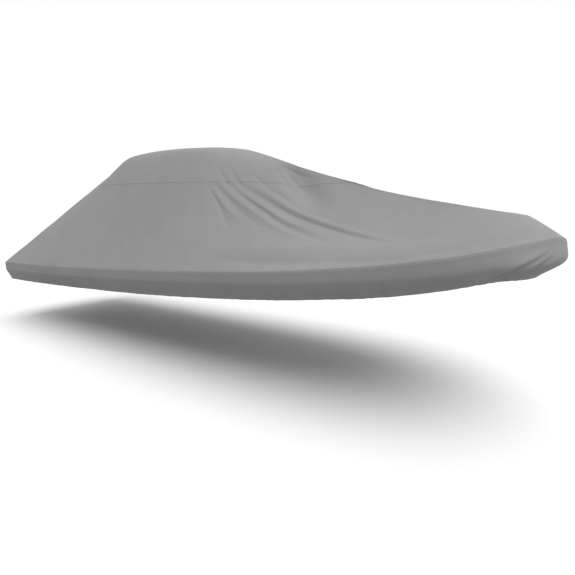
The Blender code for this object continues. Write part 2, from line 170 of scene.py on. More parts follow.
# Gathers of the skirt where the elastic hem turns under the bow.
GATHERS = [
    Fold("starboard", (9.33, 0.740), (9.46, 0.460), (9.74, 0.220), 0.024, 0.011),
    Fold("starboard", (9.30, 0.940), (9.44, 0.620), (9.72, 0.300), 0.022, -0.018),
    Fold("starboard", (9.37, 0.920), (9.52, 0.660), (9.76, 0.340), 0.019, 0.014),
    Fold("starboard", (9.50, 0.960), (9.59, 0.640), (9.78, 0.390), 0.022, -0.020),
    Fold("starboard", (9.58, 0.960), (9.68, 0.700), (9.86, 0.440), 0.019, 0.012),
    Fold("starboard", (9.67, 0.960), (9.77, 0.740), (9.92, 0.510), 0.020, -0.015),
    Fold("starboard", (9.82, 0.960), (9.93, 0.800), (10.12, 0.620), 0.022, -0.009),
    Fold("port", (9.30, 0.760), (9.42, 0.480), (9.70, 0.240), 0.024, 0.010),
    Fold("port", (9.26, 0.940), (9.40, 0.640), (9.66, 0.330), 0.022, -0.017),
    Fold("port", (9.34, 0.920), (9.48, 0.680), (9.74, 0.360), 0.019, 0.012),
    Fold("port", (9.46, 0.960), (9.58, 0.660), (9.80, 0.400), 0.022, -0.019),
    Fold("port", (9.60, 0.960), (9.72, 0.720), (9.92, 0.470), 0.020, 0.011),
    Fold("port", (9.72, 0.960), (9.86, 0.760), (10.06, 0.560), 0.020, -0.012),
]


# Curves through the tables --------------------------------------------------------------------------
def column(table, name):
    """One named column of a table as an array."""
    return np.array([getattr(row, name) for row in table])


def hermite(knots, values, slope, at):
    """Cubic pieces between the knots with the given slopes."""
    span = np.diff(knots)
    i = np.clip(np.searchsorted(knots, at, side="right") - 1, 0, len(span) - 1)
    u = (at - knots[i]) / span[i]
    level = (2 * u**3 - 3 * u**2 + 1) * values[i] + (3 * u**2 - 2 * u**3) * values[i + 1]
    lean = (u**3 - 2 * u**2 + u) * slope[i] + (u**3 - u**2) * slope[i + 1]
    return level + lean * span[i]


def curve_through(knots, values, at, level_ends=False):
    """Smooth curve through a table's values that does not swing past them."""
    span = np.diff(knots)
    rise = np.diff(values) / span
    slope = np.zeros(len(values))
    if not level_ends:
        slope[0], slope[-1] = rise[0], rise[-1]
    for k in range(1, len(values) - 1):
        if rise[k - 1] * rise[k] > 0:
            near = 2 * span[k] + span[k - 1]
            far = span[k] + 2 * span[k - 1]
            slope[k] = (near + far) / (near / rise[k - 1] + far / rise[k])
    return hermite(knots, values, slope, at)


def ridge_height(from_stern):
    """Height of the line along the top, rounding evenly between the table's places."""
    knots, values = column(RIDGE, "from_stern"), column(RIDGE, "height")
    span = np.diff(knots)
    rise = np.diff(values) / span
    slope = np.empty(len(values))
    slope[1:-1] = (rise[:-1] * span[1:] + rise[1:] * span[:-1]) / (span[:-1] + span[1:])
    slope[0], slope[-1] = rise[0], rise[-1]
    return hermite(knots, values, slope, from_stern)


STEPS = np.hypot(np.diff(column(RIM, "from_stern")), np.diff(column(RIM, "half_breadth")))
RIM_KNOTS = np.concatenate([[0.0], np.cumsum(STEPS)])
RIM_LENGTH = RIM_KNOTS[-1]
ORIGIN = np.array([MOUNT_FROM_STERN, 0.0, ridge_height(np.array([MOUNT_FROM_STERN]))[0] - CAD_CLOTH])


def rim_point(along):
    """Gunwale at a distance along the rim; past either end it runs on round the other side."""
    inside = np.where(along > RIM_LENGTH, 2 * RIM_LENGTH - along, np.abs(along))
    side = np.where((along < 0) | (along > RIM_LENGTH), -1, 1)
    x = curve_through(RIM_KNOTS, column(RIM, "from_stern"), inside, level_ends=True)
    y = curve_through(RIM_KNOTS, column(RIM, "half_breadth"), inside) * side
    z = curve_through(RIM_KNOTS, column(RIM, "height"), inside, level_ends=True)
    return x, y, z


def table_value(table, name, along):
    """One column of the section or skirt table; its last row belongs to the rim's end."""
    knots = column(table, "along_rim")
    knots[-1] = RIM_LENGTH
    return curve_through(knots, column(table, name), along)


# The smooth surfaces --------------------------------------------------------------------------------
def bend(share, straight, rounding):
    """Rises from 0 to 1: level as far as the straight share, then a slope, with a rounded turn."""

    def turn(at):
        return (at - straight) + np.sqrt((at - straight) ** 2 + rounding**2)

    return (turn(share) - turn(0.0)) / (turn(1.0) - turn(0.0))


def smooth_upper_cloth(along, down):
    """Cloth above the gunwale on the starboard side, down = 0 on the ridge and 1 on the gunwale."""
    rim_x, rim_y, rim_z = rim_point(along)
    ridge_x = table_value(SECTIONS, "ridge_from_stern", along)
    ridge_z = ridge_height(ridge_x)
    flat = table_value(SECTIONS, "flat_share", along)
    rounding = table_value(SECTIONS, "rounding", along)
    sag = table_value(SECTIONS, "sag", along) * np.sin(np.pi * down**SAG_HIGH)
    x = ridge_x + (rim_x - ridge_x) * down
    z = ridge_z + (rim_z - ridge_z) * bend(down, flat, rounding) - sag
    return np.stack([x, -rim_y * down, z], axis=-1)


def smooth_skirt(along, down):
    """Cloth below the gunwale on the starboard side, down = 0 on the gunwale and 1 on the hem."""
    rim_x, rim_y, rim_z = rim_point(along)
    before, after = rim_point(along - SMALL_STEP), rim_point(along + SMALL_STEP)
    run_x, run_y = after[0] - before[0], after[1] - before[1]
    length = np.hypot(run_x, run_y)
    straight = table_value(SKIRT, "straight_share", along)
    rounding = table_value(SKIRT, "rounding", along)
    inward = table_value(SKIRT, "drawn_in", along) * bend(down, straight, rounding)
    inward -= table_value(SKIRT, "swell", along) * np.sin(np.pi * down) ** 2
    x = rim_x + inward * run_y / length
    y = rim_y - inward * run_x / length
    z = rim_z - table_value(SKIRT, "depth", along) * down
    return np.stack([x, -y, z], axis=-1)


SEAM_SEARCH = np.linspace(5.0, 9.0, 4001)   # places along the rim where the seam may end
SEAM_LOWEST = 0.9             # share of the way down that the crown's seam never reaches
HALVINGS = 40                 # steps that close in on the seam


def seam_end():
    """Distance along the rim at which the crown's seam has run up to the ridge."""
    along = SEAM_SEARCH
    height = smooth_upper_cloth(along, 0 * along)[:, 2]
    return along[np.argmin(np.abs(height - SEAM_HEIGHT))]


CROWN_END = seam_end()
SEAM_MEETS_RIDGE = float(table_value(SECTIONS, "ridge_from_stern", np.array([CROWN_END]))[0])


def seam_share(along):
    """Share of the way down at which the crown's seam crosses each line down the cloth."""
    low, high = np.zeros(len(along)), np.full(len(along), SEAM_LOWEST)
    for _ in range(HALVINGS):
        middle = (low + high) / 2
        point = smooth_upper_cloth(along, middle)
        seam = SEAM_HEIGHT + SEAM_RISE * (SEAM_MEETS_RIDGE - point[:, 0])
        above = point[:, 2] > seam
        low, high = np.where(above, middle, low), np.where(above, high, middle)
    return np.where(along >= CROWN_END - 1e-9, 0.0, (low + high) / 2)


# Grids: one line down the cloth for each station, one row for each share of the way down ------------
Stretch = namedtuple("Stretch", "start end spacing")
CROWN_LINES = [
    Stretch(0.0, 0.76, 0.040),
    Stretch(0.76, 1.44, 0.017),
    Stretch(1.44, 5.60, 0.040),
    Stretch(5.60, CROWN_END, 0.0125),
]
FORE_LINES = [
    Stretch(CROWN_END, 8.50, 0.0135),
    Stretch(8.50, RIM_LENGTH, 0.0200),
]
SKIRT_LINES = [
    Stretch(0.0, 8.90, 0.016),
    Stretch(8.90, RIM_LENGTH, 0.0072),
]
BESIDE_MIDDLE = np.array([0.0030, 0.0060, 0.0110, 0.0140, 0.0200, 0.0300])   # lines, from either end
BESIDE_SEAM = np.array([0.0, 0.0030, 0.0100, 0.0125, 0.0190, 0.0300])   # rows, from the seam
ABOVE_HEM = np.array([0.0, 0.0030, 0.0100, 0.0200, 0.0300, 0.0360, 0.0390, 0.0480])
CROWN_ROWS = 34
SIDE_ROWS = 92
SKIRT_ROWS = 44
EDGE_SHARE = 0.30             # the close rows at an edge never take more than this of a line
LENGTH_STEPS = 25             # points that measure the length of a line

# Where the side panel's rows draw together, because the fan of folds crosses them.
Fan = namedtuple("Fan", "along_rim centre")
FAN = [Fan(5.8, 0.30), Fan(6.6, 0.34), Fan(8.3, 0.47)]
FAN_START, FAN_END, FAN_FADE = 5.5, 8.7, 0.4
FAN_CLOSER = 1.6              # how much denser the rows are at its centre, over the even ones
FAN_WIDTH = 0.16              # how soon they thin out beside it, as a share of the way down
FAN_STEPS = 241               # points at which that density is added up


def stations(stretches, beside_middle=False):
    """Places along the rim of the lines down the cloth."""
    parts = [[stretches[-1].end]]
    for s in stretches:
        count = max(2, round((s.end - s.start) / s.spacing))
        parts.append(np.linspace(s.start, s.end, count, endpoint=False))
    if beside_middle:
        parts += [BESIDE_MIDDLE, RIM_LENGTH - BESIDE_MIDDLE]
    return np.unique(np.concatenate(parts))


def even_middle(along, places):
    """Rows spread evenly between the close rows at both edges."""
    return np.repeat(places[None, :], len(along), axis=0)


def folded_middle(along, places):
    """Rows drawn together where the fan of folds crosses each line."""
    fine = np.linspace(0, 1, FAN_STEPS)
    rows = np.empty((len(along), len(places)))
    centre = np.interp(along, column(FAN, "along_rim"), column(FAN, "centre"))
    begun = np.clip((along - FAN_START) / FAN_FADE, 0, 1)
    window = begun * np.clip((FAN_END - along) / FAN_FADE, 0, 1)
    for i, (c, w) in enumerate(zip(centre, window)):
        density = 1 + FAN_CLOSER * w * np.exp(-(((fine - c) / FAN_WIDTH) ** 2))
        total = np.concatenate([[0], np.cumsum((density[1:] + density[:-1]) / 2)])
        rows[i] = np.interp(places, total / total[-1], fine)
    return rows


def shares_down(surface, along, top, bottom, count, above, below, spread):
    """Shares of a panel's rows: the given distances from both edges, and the rest between them."""
    tries = np.linspace(0, 1, LENGTH_STEPS)
    spot = top[:, None] * (1 - tries) + bottom[:, None] * tries
    points = surface(np.repeat(along[:, None], len(tries), axis=1), spot)
    run = np.linalg.norm(np.diff(points, axis=1), axis=-1).sum(axis=1)
    run = np.maximum(run, 1e-6)[:, None]
    upper, lower = above[None, :] / run, below[None, :] / run
    upper = upper * np.minimum(1, EDGE_SHARE / np.maximum(upper[:, -1:], EDGE_SHARE))
    lower = lower * np.minimum(1, EDGE_SHARE / np.maximum(lower[:, -1:], EDGE_SHARE))
    between = count + 1 - len(above) - len(below)
    places = np.linspace(0, 1, between + 2)[1:-1]
    middle = spread(along, places) * (1 - lower[:, -1:] - upper[:, -1:]) + upper[:, -1:]
    share = np.concatenate([upper, middle, 1 - lower[:, ::-1]], axis=1)
    return top[:, None] * (1 - share) + bottom[:, None] * share


def unit(vectors):
    """Vectors scaled to length 1; a vector of no length becomes straight up."""
    length = np.linalg.norm(vectors, axis=-1, keepdims=True)
    return np.where(length > 1e-12, vectors / np.maximum(length, 1e-12), [0.0, 0.0, 1.0])


def grid_normals(points):
    """Outward unit normals of a starboard grid, level across the middle of the boat."""
    normal = unit(np.cross(np.gradient(points, axis=1), np.gradient(points, axis=0)))
    normal[np.abs(points[..., 1]) < 1e-9, 1] = 0.0
    return unit(normal)


def rounded_edge(points, corner, beyond):
    """Rounds a grid over an edge: corner is the edge's point on each line, beyond the unit
    direction in which the neighbouring cloth leaves it."""
    away = points - corner[:, None, :]
    distance = np.linalg.norm(away, axis=-1, keepdims=True)
    here = np.divide(away, distance, out=np.zeros_like(away), where=distance > 1e-9)
    first = here[:, 1:2] if distance[0, 0, 0] < distance[0, -1, 0] else here[:, -2:-1]
    here = np.where(distance > 1e-9, here, first)
    u = np.clip((EDGE_ROUND - distance) / (2 * EDGE_ROUND), 0, 0.5)
    bent = corner[:, None, :] + EDGE_ROUND * ((1 - u) ** 2 * here + u**2 * beyond[:, None, :])
    return np.where(distance < EDGE_ROUND, bent, points)


# Folds, drape and gathers ---------------------------------------------------------------------------
LATTICE = 64                  # noise repeats after this many waves
FOLD_POINTS = 61              # points along a fold's path
FOLD_REACH = 3                # half widths beyond which a fold is no longer worked out
FOLD_CUT = 0.02               # share of its fading that each end of a fold leaves out
FOLD_FULL = 0.6               # below one, a fold keeps its height nearer to its ends
END_FADE = 0.2                # along the rim, from either middle of the boat
EDGE_FADE = 0.05              # share of the way down
SKIRT_FADE = 0.2              # share of the way down the skirt
SKIRT_SEED = {"starboard": 21, "port": 33}

# The waves of slack cloth, which grow a little forward: their size both ways, height and gain.
Wave = namedtuple("Wave", "length width height gain seed")
BROAD_WAVE = Wave(0.55, 0.40, 0.0035, 0.0015, 5)
FINE_WAVE = Wave(0.17, 0.15, 0.0007, 0.0006, 6)
SLACK_FROM, SLACK_REACH = 4.2, 1.6   # where from the stern they grow, and over what distance
WAVE_LEAN = 0.6               # how far the broad waves lean over with the height

# The skirt's own waves: their length, how many go down it, and their height at the hem.
Hang = namedtuple("Hang", "length down height")
HANGING = Hang(0.13, 1.1, 0.0024)
PUCKER = Hang(0.038, 0.9, 0.0030)


def soft_noise(u, v, seed):
    """Smooth, repeatable waves between about -1 and 1 on a unit lattice."""
    lattice = np.random.default_rng(seed).uniform(-1, 1, (LATTICE, LATTICE))
    iu, iv = np.floor(u).astype(int), np.floor(v).astype(int)
    fu, fv = u - iu, v - iv
    fu, fv = fu * fu * (3 - 2 * fu), fv * fv * (3 - 2 * fv)
    ju, jv = (iu + 1) % LATTICE, (iv + 1) % LATTICE
    iu, iv = iu % LATTICE, iv % LATTICE
    low = lattice[iu, iv] * (1 - fu) + lattice[ju, iv] * fu
    high = lattice[iu, jv] * (1 - fu) + lattice[ju, jv] * fu
    return low * (1 - fv) + high * fv


def fold_lift(points, surface, folds):
    """Height of the folds at each point: rounded across each path and fading at both ends."""
    flat = points.reshape(-1, 3)
    lift = np.zeros(len(flat))
    u = np.linspace(0, 1, FOLD_POINTS)[:, None]
    for fold in folds:
        start, middle, end = (np.array(place) for place in (fold.start, fold.middle, fold.end))
        pull = 2 * middle - (start + end) / 2
        track = (1 - u) ** 2 * start + 2 * u * (1 - u) * pull + u**2 * end
        path = surface(track[:, 0], track[:, 1])
        reach = FOLD_REACH * fold.half_width
        low, high = path.min(axis=0) - reach, path.max(axis=0) + reach
        close = np.flatnonzero(np.all((flat > low) & (flat < high), axis=1))
        gap = np.linalg.norm(flat[close][:, None, :] - path[None, :, :], axis=-1)
        nearest = gap.argmin(axis=1)
        away = flat[close] - path[nearest]
        onward = np.sum(away * unit(np.gradient(path, axis=0))[nearest], axis=1)
        onward[(nearest == 0) | (nearest == len(path) - 1)] = 0.0
        across = np.sqrt(np.maximum(np.sum(away**2, axis=1) - onward**2, 0)) / fold.half_width
        step = np.linalg.norm(path[-1] - path[0]) / (len(path) - 1)
        share = (nearest + onward / step) / (len(path) - 1)
        faded = np.clip(share * (1 - 2 * FOLD_CUT) + FOLD_CUT, 0, 1)
        fade = np.sin(np.pi * faded) ** FOLD_FULL
        lift[close] += fold.height * fade * np.exp(-(across**2))
    return lift.reshape(points.shape[:-1])


def clear_of_middle(along):
    """Fades the folds out before the middle of the stern and of the bow, where the sides join."""
    return np.clip(along / END_FADE, 0, 1) * np.clip((RIM_LENGTH - along) / END_FADE, 0, 1)


def drape(points, mirror):
    """Shallow hollows and swells of cloth that lies slack over the boat."""
    x, y, z = points[..., 0], points[..., 1] * mirror, points[..., 2]
    fore = np.clip((x - SLACK_FROM) / SLACK_REACH, 0, 1)
    wave = BROAD_WAVE
    broad = soft_noise(x / wave.length, (y + WAVE_LEAN * z) / wave.width, wave.seed)
    broad = broad * (wave.height + wave.gain * fore)
    wave = FINE_WAVE
    fine = soft_noise(x / wave.length + y, (y - z) / wave.width, wave.seed)
    return broad + fine * (wave.height + wave.gain * fore)


def upper_lift(points, spread, down, side, mirror):
    """Everything that stands out from or sinks into the smooth cloth above the gunwale."""
    folds = fold_lift(points, smooth_upper_cloth, [f for f in FOLDS if f.side == side])
    rim = np.clip((1 - down) / EDGE_FADE, 0, 1)
    edges = np.clip(down / EDGE_FADE, 0, 1) * rim
    return folds * edges * clear_of_middle(spread) + drape(points, mirror) * rim


def skirt_lift(points, spread, down, side):
    """Everything that stands out from or sinks into the smooth skirt."""
    folds = fold_lift(points, smooth_skirt, [g for g in GATHERS if g.side == side])
    seed = SKIRT_SEED[side]
    hang = soft_noise(spread / HANGING.length, down * HANGING.down, seed) * HANGING.height * down
    pucker = soft_noise(spread / PUCKER.length, down * PUCKER.down, seed + 1)
    pucker = pucker * PUCKER.height * down**4
    return (folds + hang + pucker) * clear_of_middle(spread) * np.clip(down / SKIRT_FADE, 0, 1)


# One panel as a grid, then as a solid ---------------------------------------------------------------
# Across and length place a point on the cloth's threads; seam and hem say how far off those are.
Grid = namedtuple("Grid", "points normals across length seam hem")
FAR = 9.0                     # distance of a hem that the panel doesn't have
THREADS_FROM = 4.0            # place along the rim from which the threads are counted
FELL_SLOPE = 0.0025           # width of the felled strip's rising edge
LEAN_STEP = 0.02              # share down a surface that measures how it leaves its edge
RIDGE_TURNS = 0.25            # the ridge's rounding sets in over this distance ahead of the crown
SHARP = 50                    # degrees between faces that show as an edge


def run_down(points):
    """Distance of each point down its line, from the line's first point."""
    steps = np.linalg.norm(np.diff(points, axis=1), axis=-1)
    return np.concatenate([np.zeros((len(points), 1)), np.cumsum(steps, axis=1)], axis=1)


def run_along(points, along, reference):
    """Distance of each point along its row, from the reference station."""
    steps = np.linalg.norm(np.diff(points, axis=0), axis=-1)
    total = np.concatenate([np.zeros((1, points.shape[1])), np.cumsum(steps, axis=0)], axis=0)
    return total - total[np.argmin(np.abs(along - reference))]


def smooth_step(value):
    """Rises from 0 to 1 with level ends."""
    value = np.clip(value, 0, 1)
    return value * value * (3 - 2 * value)


def felled(distance):
    """Height of the doubled strip beside a seam."""
    return FELL_RISE * smooth_step((FELL - distance) / FELL_SLOPE)


def hem_channel(distance):
    """Height of the hem's rounded channel above its edge."""
    across = (distance - HEM / 2) / (HEM / 2)
    return HEM_RISE * np.sqrt(np.clip(1 - across**2, 0, 1))


def leaving(surface, along, start, step):
    """Unit direction in which a surface leaves its edge on each line."""
    edge = surface(along, np.full(len(along), start))
    inside = surface(along, np.full(len(along), start + step))
    return unit(inside - edge)


def mirrored(vectors):
    """The same on the port side."""
    return vectors * [1, -1, 1]


def finished(side, base, lift, down_run, across, seam, hem):
    """Lifts a starboard grid off its base, then carries it to its side and the model's frame."""
    points = base + lift[..., None] * grid_normals(base)
    normals = grid_normals(points)
    if side == "port":
        points, normals = mirrored(points), mirrored(normals)
    return Grid(points - ORIGIN, normals, across, down_run, seam, hem)


def crown_half(side):
    """One half of the crown, from the ridge down to its seam."""
    mirror = 1 if side == "starboard" else -1
    along = stations(CROWN_LINES)
    seam = seam_share(along)
    down = shares_down(smooth_upper_cloth, along, 0 * seam, seam, CROWN_ROWS,
                       BESIDE_SEAM[:1], BESIDE_SEAM, even_middle)
    spread = np.repeat(along[:, None], down.shape[1], axis=1)
    base = smooth_upper_cloth(spread, down)
    run = run_down(base)
    to_seam = run[:, -1:] - run
    lift = upper_lift(base, spread, down, side, mirror) + felled(to_seam)
    far = np.full(run.shape, FAR)
    threads = run_along(base, along, THREADS_FROM)
    return finished(side, base, lift, run * mirror, threads, to_seam, far)


def side_panel(side):
    """The panel from the crown's seam, and forward of it from the ridge, down to the gunwale."""
    mirror = 1 if side == "starboard" else -1
    along = stations(CROWN_LINES + FORE_LINES, beside_middle=True)
    seam, rim = seam_share(along), np.ones(len(along))
    down = shares_down(smooth_upper_cloth, along, seam, rim, SIDE_ROWS,
                       BESIDE_SEAM, BESIDE_SEAM, folded_middle)
    spread = np.repeat(along[:, None], down.shape[1], axis=1)
    base = smooth_upper_cloth(spread, down)
    run = run_down(base)
    to_top, to_rim = run, run[:, -1:] - run
    lift = upper_lift(base, spread, down, side, mirror) + felled(to_rim)
    if side == "starboard":
        lift += felled(np.abs(base[..., 1])) * (to_rim > FELL)
    edge = smooth_upper_cloth(along, rim)
    base = rounded_edge(base, edge, leaving(smooth_skirt, along, 0.0, LEAN_STEP))
    top = smooth_upper_cloth(along, 0 * along)
    over = mirrored(leaving(smooth_upper_cloth, along, 0.0, LEAN_STEP))
    fore = smooth_step((along - CROWN_END) / RIDGE_TURNS)[:, None, None]
    base = base * (1 - fore) + rounded_edge(base, top, over) * fore
    far = np.full(run.shape, FAR)
    sewn = np.minimum(to_top, to_rim + FAINTER)
    return finished(side, base, lift, run, run_along(base, along, THREADS_FROM), sewn, far)


def skirt_panel(side):
    """The panel from the gunwale down to the elastic hem."""
    along = stations(SKIRT_LINES, beside_middle=True)
    none, hem = np.zeros(len(along)), np.ones(len(along))
    down = shares_down(smooth_skirt, along, none, hem, SKIRT_ROWS,
                       BESIDE_SEAM, ABOVE_HEM, even_middle)
    spread = np.repeat(along[:, None], down.shape[1], axis=1)
    base = smooth_skirt(spread, down)
    run = run_down(base)
    to_hem = run[:, -1:] - run
    lift = skirt_lift(base, spread, down, side) + hem_channel(to_hem)
    if side == "starboard":
        lift += felled(np.abs(base[..., 1])) * smooth_step(to_hem / HEM - 1)
    edge = smooth_skirt(along, none)
    up = leaving(smooth_upper_cloth, along, 1.0, -LEAN_STEP / 2)
    base = rounded_edge(base, edge, up)
    threads = run_along(base, along, THREADS_FROM)
    return finished(side, base, lift, run, threads, run + FAINTER, to_hem)


def joined(port, starboard):
    """Both halves of the crown as one grid, whose rows run from the port seam to starboard's."""
    parts = [np.concatenate([p[:, ::-1], s[:, 1:]], axis=1) for p, s in zip(port, starboard)]
    return Grid(*parts)


def welded(grid, turned):
    """The grid's vertices without doubles, its triangles, and each grid point's vertex."""
    lines, rows = grid.points.shape[:2]
    flat = grid.points.reshape(-1, 3)
    places = np.round(flat, 7) + 0.0
    _, first, vertex = np.unique(places, axis=0, return_index=True, return_inverse=True)
    vertex = vertex.reshape(-1)
    number = np.arange(lines * rows).reshape(lines, rows)
    a, b = number[:-1, :-1].ravel(), number[:-1, 1:].ravel()
    c, d = number[1:, 1:].ravel(), number[1:, :-1].ravel()
    corners = np.concatenate([np.stack([a, b, c], axis=1), np.stack([a, c, d], axis=1)])
    if turned:
        corners = corners[:, ::-1]
    faces = vertex[corners]
    whole = np.all(faces != np.roll(faces, 1, axis=1), axis=1)
    return first, faces[whole], corners[whole]


def face_normals(points, faces):
    """Unit normals of triangles."""
    a, b, c = (points[faces[:, k]] for k in range(3))
    return unit(np.cross(b - a, c - a))


def vertex_normals(points, faces):
    """Normals of the vertices, each triangle counted by its area."""
    a, b, c = (points[faces[:, k]] for k in range(3))
    area = np.cross(b - a, c - a)
    total = np.zeros_like(points)
    for k in range(3):
        np.add.at(total, faces[:, k], area)
    return unit(total)


def open_edges(faces):
    """Directed edges that only one triangle has."""
    edges = np.concatenate([faces[:, [0, 1]], faces[:, [1, 2]], faces[:, [2, 0]]])
    owner = np.tile(np.arange(len(faces)), 3)
    size = faces.max() + 1
    there, back = edges[:, 0] * size + edges[:, 1], edges[:, 1] * size + edges[:, 0]
    lone = ~np.isin(there, back)
    return edges[lone], owner[lone]


def drawn_back(points, faces):
    """The outer face with its free edge moved in by half the gap at the seams."""
    edges, owner = open_edges(faces)
    along = unit(points[edges[:, 1]] - points[edges[:, 0]])
    into = np.cross(face_normals(points, faces)[owner], along)
    total = np.zeros_like(points)
    for k in range(2):
        np.add.at(total, edges[:, k], into)
    moved = points.copy()
    rim = np.unique(edges)
    moved[rim] += unit(total[rim]) * GAP / 2
    return moved


def cloth_solid(name, grid, turned, material):
    """A closed solid of one panel: outer face, inner face and the cut edge between them."""
    first, faces, corners = welded(grid, turned)
    outer = drawn_back(grid.points.reshape(-1, 3)[first], faces)
    inner = outer - vertex_normals(outer, faces) * CLOTH
    count = len(outer)
    edges, _ = open_edges(faces)
    a, b = edges[:, 0], edges[:, 1]
    band = np.concatenate([
        np.stack([b, a, a + count], axis=1),
        np.stack([b, a + count, b + count], axis=1),
    ])
    triangles = np.concatenate([faces, faces[:, ::-1] + count, band])
    mesh = bpy.data.meshes.new(name)
    mesh.from_pydata(np.concatenate([outer, inner]).tolist(), [], triangles.tolist())
    place = np.stack([grid.across.ravel(), grid.length.ravel()], axis=1)
    loops = np.concatenate([place[corners].reshape(-1, 2), place[corners[:, ::-1]].reshape(-1, 2)])
    edge_place = place[first][band % count].reshape(-1, 2)
    threads = mesh.uv_layers.new(name="threads")
    threads.uv.foreach_set("vector", np.concatenate([loops, edge_place]).astype(np.float32).ravel())
    for label, values in (("seam", grid.seam), ("hem", grid.hem)):
        layer = mesh.attributes.new(label, "FLOAT", "POINT")
        one = values.ravel()[first]
        layer.data.foreach_set("value", np.concatenate([one, one]).astype(np.float32))
    mesh.shade_smooth()
    mesh.set_sharp_from_angle(angle=math.radians(SHARP))
    mesh.materials.append(material)
    piece = bpy.data.objects.new(name, mesh)
    bpy.context.scene.collection.objects.link(piece)
    return piece


# Stitches -------------------------------------------------------------------------------------------
STITCH = 0.0046               # length of one stitch that shows
PITCH = 0.0066                # from one stitch to the next
THREAD = 0.0011               # thickness of the thread
FELL_ROWS = (0.0035, 0.0095)  # the two rows of a felled seam, from its edge
SUNK = 0.3                    # share of the thread's thickness to which a stitch's ends go down
PROUD = 0.15                  # share of it by which a stitch stands up
SEWN_FROM = 0.03              # lines of the crown that are shorter than this carry no stitches
RIDGE_CLEAR = 0.02            # the ridge's stitches start this far ahead of the crown
SIDE_END_LINES = 12           # lines at either end of a side panel that its end stitches look at
SKIRT_END_LINES = 10          # the same for a skirt panel
HEM_STITCHES = HEM + 0.002    # height of the row that closes the hem's channel


def beside(grid, distance, at, lines=slice(None), rows=slice(None), down=False):
    """Points and normals of the cloth where the distance from a seam has one value.

    It looks for the place on each line, or on each row for a seam that runs down the cloth.
    """
    kept = [values[lines, rows] for values in (grid.points, grid.normals, distance)]
    if down:
        kept = [np.swapaxes(values, 0, 1) for values in kept]
    places = []
    for points, normals, away in zip(*kept):
        order = np.argsort(away)
        if away[order[-1]] > 2 * at:
            both = np.concatenate([points, normals], axis=1)[order]
            places.append([np.interp(at, away[order], both[:, k]) for k in range(6)])
    places = np.array(places)
    return places[:, :3], unit(places[:, 3:])


def stitch_row(points, normals):
    """Stitches laid end to end along a row: their corners and their triangles."""
    steps = np.linalg.norm(np.diff(points, axis=0), axis=1)
    total = np.concatenate([[0.0], np.cumsum(steps)])
    places = np.arange(PITCH, total[-1] - PITCH, PITCH)
    centre = np.stack([np.interp(places, total, points[:, k]) for k in range(3)], axis=1)
    tips = places + STITCH / 2
    ahead = np.stack([np.interp(tips, total, points[:, k]) for k in range(3)], axis=1)
    normal = unit(np.stack([np.interp(places, total, normals[:, k]) for k in range(3)], axis=1))
    along = unit(ahead - centre)
    across = np.cross(normal, along)
    centre = centre + normal * THREAD * PROUD
    corners = np.stack([
        centre - along * STITCH / 2 - normal * THREAD * SUNK,
        centre + along * STITCH / 2 - normal * THREAD * SUNK,
        centre - across * THREAD / 2,
        centre + normal * THREAD / 2,
        centre + across * THREAD / 2,
        centre - normal * THREAD / 2,
    ], axis=1)
    ring = [2, 3, 4, 5]
    faces = []
    for k in range(4):
        here, there = ring[k], ring[(k + 1) % 4]
        faces += [[0, there, here], [1, here, there]]
    numbers = np.arange(len(centre))[:, None, None] * 6 + np.array(faces)[None]
    return corners.reshape(-1, 3), numbers.reshape(-1, 3)


def stitches(name, rows, material):
    """All rows of stitches on one panel as one mesh."""
    corners, faces, count = [], [], 0
    for points, normals in rows:
        more, numbers = stitch_row(points, normals)
        corners.append(more)
        faces.append(numbers + count)
        count += len(more)
    mesh = bpy.data.meshes.new(name)
    mesh.from_pydata(np.concatenate(corners).tolist(), [], np.concatenate(faces).tolist())
    mesh.shade_smooth()
    mesh.materials.append(material)
    piece = bpy.data.objects.new(name, mesh)
    bpy.context.scene.collection.objects.link(piece)
    return piece


# Materials ------------------------------------------------------------------------------------------
CLOTH_GREY = 0.151            # share of light that the cloth gives back
TINT = (1.0, 0.992, 1.010)    # red, green and blue of the cloth's grey
THREAD_GREY = 0.125
FLOOR_GREY = 0.505
NOISE = (0.3, 0.7)            # nearly all noise lies between these
WEAVE = 0.0009                # from one thread of the weave to the next


